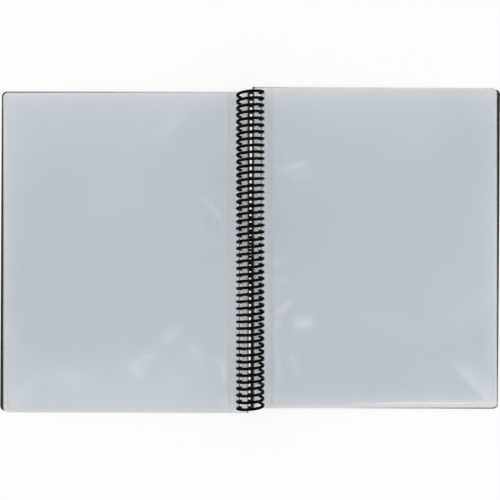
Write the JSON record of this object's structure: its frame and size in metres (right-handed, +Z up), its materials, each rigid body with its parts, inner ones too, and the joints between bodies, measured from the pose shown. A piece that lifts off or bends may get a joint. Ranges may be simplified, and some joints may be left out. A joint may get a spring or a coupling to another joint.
{
  "type": "clear pocket display book",
  "caption": "Display book lying open: clear film pockets between two black plastic covers, bound along one edge by a black plastic coil on which every leaf turns.",
  "frame": {"origin": "on the table, under the middle of the binding coil, with the book lying open", "axes": "+X to the right across the open book, +Y along the binding towards the pockets' mouths, +Z up"},
  "size_m": [0.4845, 0.3144, 0.0274],
  "materials": {
    "coil_plastic": "gloss black",
    "cover_plastic": "fine grained black",
    "clear_film": "clear film"
  },
  "bodies": {
    "binding": {"binding_coil": "coil_plastic"},
    "front_cover": {"front_cover": "cover_plastic"},
    "back_cover": {"back_cover": "cover_plastic"},
    "pocket_01": {"pocket_01_front_film": "clear_film", "pocket_01_back_film": "clear_film"},
    "pocket_02": {"pocket_02_front_film": "clear_film", "pocket_02_back_film": "clear_film"},
    "pocket_03": {"pocket_03_front_film": "clear_film", "pocket_03_back_film": "clear_film"},
    "pocket_04": {"pocket_04_front_film": "clear_film", "pocket_04_back_film": "clear_film"},
    "pocket_05": {"pocket_05_front_film": "clear_film", "pocket_05_back_film": "clear_film"},
    "pocket_06": {"pocket_06_front_film": "clear_film", "pocket_06_back_film": "clear_film"},
    "pocket_07": {"pocket_07_front_film": "clear_film", "pocket_07_back_film": "clear_film"},
    "pocket_08": {"pocket_08_front_film": "clear_film", "pocket_08_back_film": "clear_film"},
    "pocket_09": {"pocket_09_front_film": "clear_film", "pocket_09_back_film": "clear_film"},
    "pocket_10": {"pocket_10_front_film": "clear_film", "pocket_10_back_film": "clear_film"},
    "pocket_11": {"pocket_11_front_film": "clear_film", "pocket_11_back_film": "clear_film"},
    "pocket_12": {"pocket_12_front_film": "clear_film", "pocket_12_back_film": "clear_film"},
    "pocket_13": {"pocket_13_front_film": "clear_film", "pocket_13_back_film": "clear_film"},
    "pocket_14": {"pocket_14_front_film": "clear_film", "pocket_14_back_film": "clear_film"},
    "pocket_15": {"pocket_15_front_film": "clear_film", "pocket_15_back_film": "clear_film"},
    "pocket_16": {"pocket_16_front_film": "clear_film", "pocket_16_back_film": "clear_film"},
    "pocket_17": {"pocket_17_front_film": "clear_film", "pocket_17_back_film": "clear_film"},
    "pocket_18": {"pocket_18_front_film": "clear_film", "pocket_18_back_film": "clear_film"},
    "pocket_19": {"pocket_19_front_film": "clear_film", "pocket_19_back_film": "clear_film"},
    "pocket_20": {"pocket_20_front_film": "clear_film", "pocket_20_back_film": "clear_film"}
  },
  "joints": [
    {"name": "front_cover_turn", "type": "hinge", "parent": "binding", "child": "front_cover", "pos_m": [0, 0, 0.0137], "axis": [0, 1, 0], "range_deg": [0, 180]},
    {"name": "pocket_01_turn", "type": "hinge", "parent": "front_cover", "child": "pocket_01", "pos_m": [0, 0, 0.0137], "axis": [0, 1, 0], "range_deg": [0, 180]},
    {"name": "pocket_02_turn", "type": "hinge", "parent": "pocket_01", "child": "pocket_02", "pos_m": [0, 0, 0.0137], "axis": [0, 1, 0], "range_deg": [0, 180]},
    {"name": "pocket_03_turn", "type": "hinge", "parent": "pocket_02", "child": "pocket_03", "pos_m": [0, 0, 0.0137], "axis": [0, 1, 0], "range_deg": [0, 180]},
    {"name": "pocket_04_turn", "type": "hinge", "parent": "pocket_03", "child": "pocket_04", "pos_m": [0, 0, 0.0137], "axis": [0, 1, 0], "range_deg": [0, 180]},
    {"name": "pocket_05_turn", "type": "hinge", "parent": "pocket_04", "child": "pocket_05", "pos_m": [0, 0, 0.0137], "axis": [0, 1, 0], "range_deg": [0, 180]},
    {"name": "pocket_06_turn", "type": "hinge", "parent": "pocket_05", "child": "pocket_06", "pos_m": [0, 0, 0.0137], "axis": [0, 1, 0], "range_deg": [0, 180]},
    {"name": "pocket_07_turn", "type": "hinge", "parent": "pocket_06", "child": "pocket_07", "pos_m": [0, 0, 0.0137], "axis": [0, 1, 0], "range_deg": [0, 180]},
    {"name": "pocket_08_turn", "type": "hinge", "parent": "pocket_07", "child": "pocket_08", "pos_m": [0, 0, 0.0137], "axis": [0, 1, 0], "range_deg": [0, 180]},
    {"name": "pocket_09_turn", "type": "hinge", "parent": "pocket_08", "child": "pocket_09", "pos_m": [0, 0, 0.0137], "axis": [0, 1, 0], "range_deg": [0, 180]},
    {"name": "pocket_10_turn", "type": "hinge", "parent": "pocket_09", "child": "pocket_10", "pos_m": [0, 0, 0.0137], "axis": [0, 1, 0], "range_deg": [0, 180]},
    {"name": "back_cover_turn", "type": "hinge", "parent": "binding", "child": "back_cover", "pos_m": [0, 0, 0.0137], "axis": [0, -1, 0], "range_deg": [0, 180]},
    {"name": "pocket_20_turn", "type": "hinge", "parent": "back_cover", "child": "pocket_20", "pos_m": [0, 0, 0.0137], "axis": [0, -1, 0], "range_deg": [0, 180]},
    {"name": "pocket_19_turn", "type": "hinge", "parent": "pocket_20", "child": "pocket_19", "pos_m": [0, 0, 0.0137], "axis": [0, -1, 0], "range_deg": [0, 180]},
    {"name": "pocket_18_turn", "type": "hinge", "parent": "pocket_19", "child": "pocket_18", "pos_m": [0, 0, 0.0137], "axis": [0, -1, 0], "range_deg": [0, 180]},
    {"name": "pocket_17_turn", "type": "hinge", "parent": "pocket_18", "child": "pocket_17", "pos_m": [0, 0, 0.0137], "axis": [0, -1, 0], "range_deg": [0, 180]},
    {"name": "pocket_16_turn", "type": "hinge", "parent": "pocket_17", "child": "pocket_16", "pos_m": [0, 0, 0.0137], "axis": [0, -1, 0], "range_deg": [0, 180]},
    {"name": "pocket_15_turn", "type": "hinge", "parent": "pocket_16", "child": "pocket_15", "pos_m": [0, 0, 0.0137], "axis": [0, -1, 0], "range_deg": [0, 180]},
    {"name": "pocket_14_turn", "type": "hinge", "parent": "pocket_15", "child": "pocket_14", "pos_m": [0, 0, 0.0137], "axis": [0, -1, 0], "range_deg": [0, 180]},
    {"name": "pocket_13_turn", "type": "hinge", "parent": "pocket_14", "child": "pocket_13", "pos_m": [0, 0, 0.0137], "axis": [0, -1, 0], "range_deg": [0, 180]},
    {"name": "pocket_12_turn", "type": "hinge", "parent": "pocket_13", "child": "pocket_12", "pos_m": [0, 0, 0.0137], "axis": [0, -1, 0], "range_deg": [0, 180]},
    {"name": "pocket_11_turn", "type": "hinge", "parent": "pocket_12", "child": "pocket_11", "pos_m": [0, 0, 0.0137], "axis": [0, -1, 0], "range_deg": [0, 180]}
  ]
}
